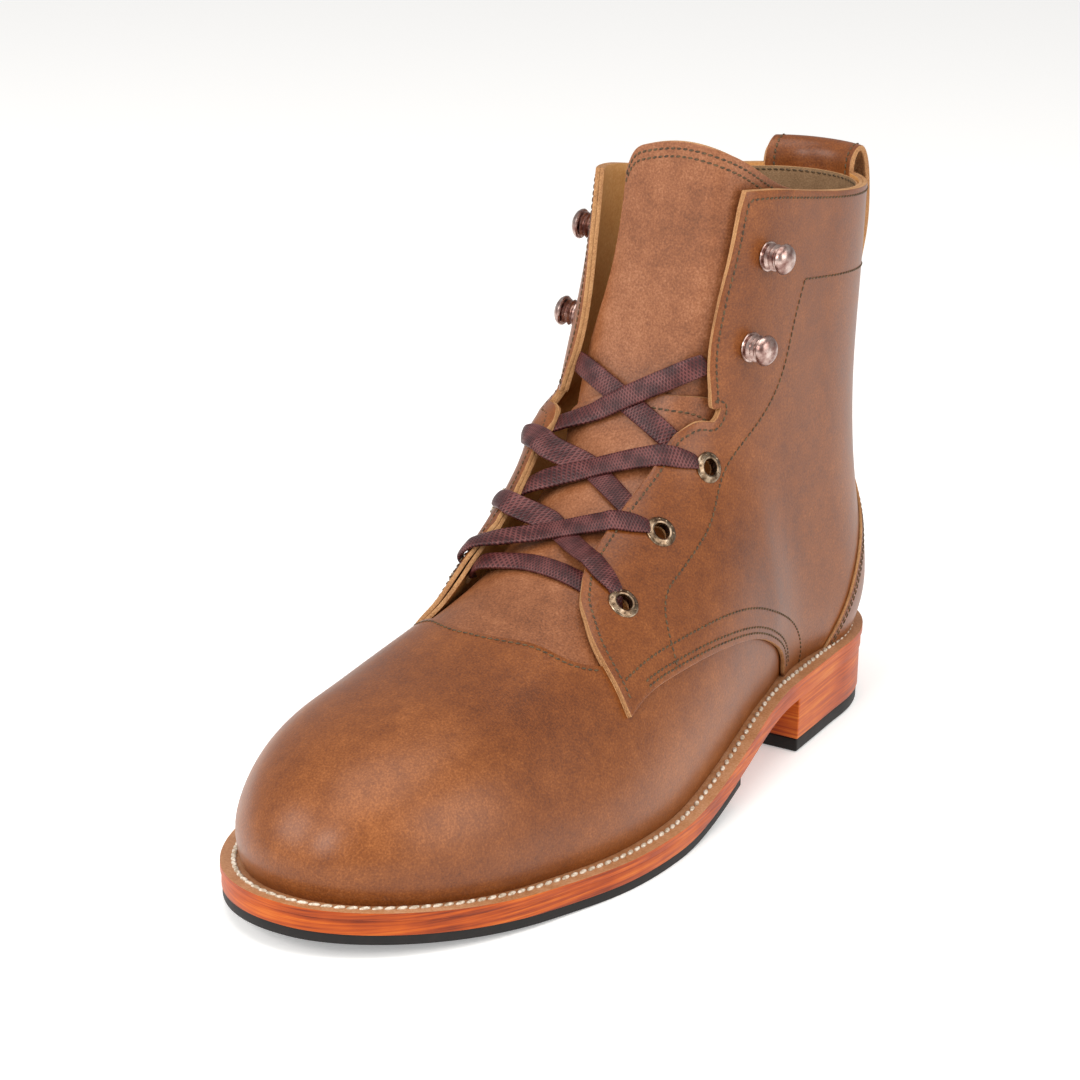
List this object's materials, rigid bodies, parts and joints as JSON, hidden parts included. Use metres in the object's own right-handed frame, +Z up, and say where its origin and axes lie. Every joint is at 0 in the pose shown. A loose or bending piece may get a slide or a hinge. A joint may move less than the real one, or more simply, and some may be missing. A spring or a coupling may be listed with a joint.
{
  "type": "lace-up boot",
  "caption": "Plain-toe lace-up leather ankle boot for the left foot, with lapped quarters, flat laces, eyelets, lace hooks, a stitched welt, a stacked heel and a pull loop.",
  "frame": {"origin": "on the floor, under the middle of the boot's bounding box", "axes": "+X points from the heel to the toe, +Y to the wearer's left, which is the boot's lateral side, and +Z up"},
  "size_m": [0.3058, 0.1104, 0.1951],
  "materials": {
    "leather": "waxed pull-up leather, tan brown",
    "natural": "natural vegetable-tanned leather",
    "edge": "dressed and waxed sole edge, orange brown",
    "rubber": "matte black-brown",
    "lining": "smooth natural lining leather",
    "lace": "waxed flat braid, dark burgundy brown",
    "metal": "antique bronze"
  },
  "bodies": {
    "root": {"upper": "leather", "tongue": "leather", "pull_loop": "leather", "welt": "natural", "insole": "lining", "leather_outsole": "edge", "heel_stack": "edge", "heel_top_lift": "rubber", "rubber_forefoot_sole": "rubber", "eyelet_lateral_1": "metal", "eyelet_lateral_2": "metal", "eyelet_lateral_3": "metal", "eyelet_medial_1": "metal", "eyelet_medial_2": "metal", "eyelet_medial_3": "metal", "hook_lateral_1": "metal", "hook_lateral_2": "metal", "hook_medial_1": "metal", "hook_medial_2": "metal", "lace_bar": "lace", "lace_crossing_1": "lace", "lace_crossing_2": "lace", "lace_crossing_3": "lace"}
  },
  "joints": []
}
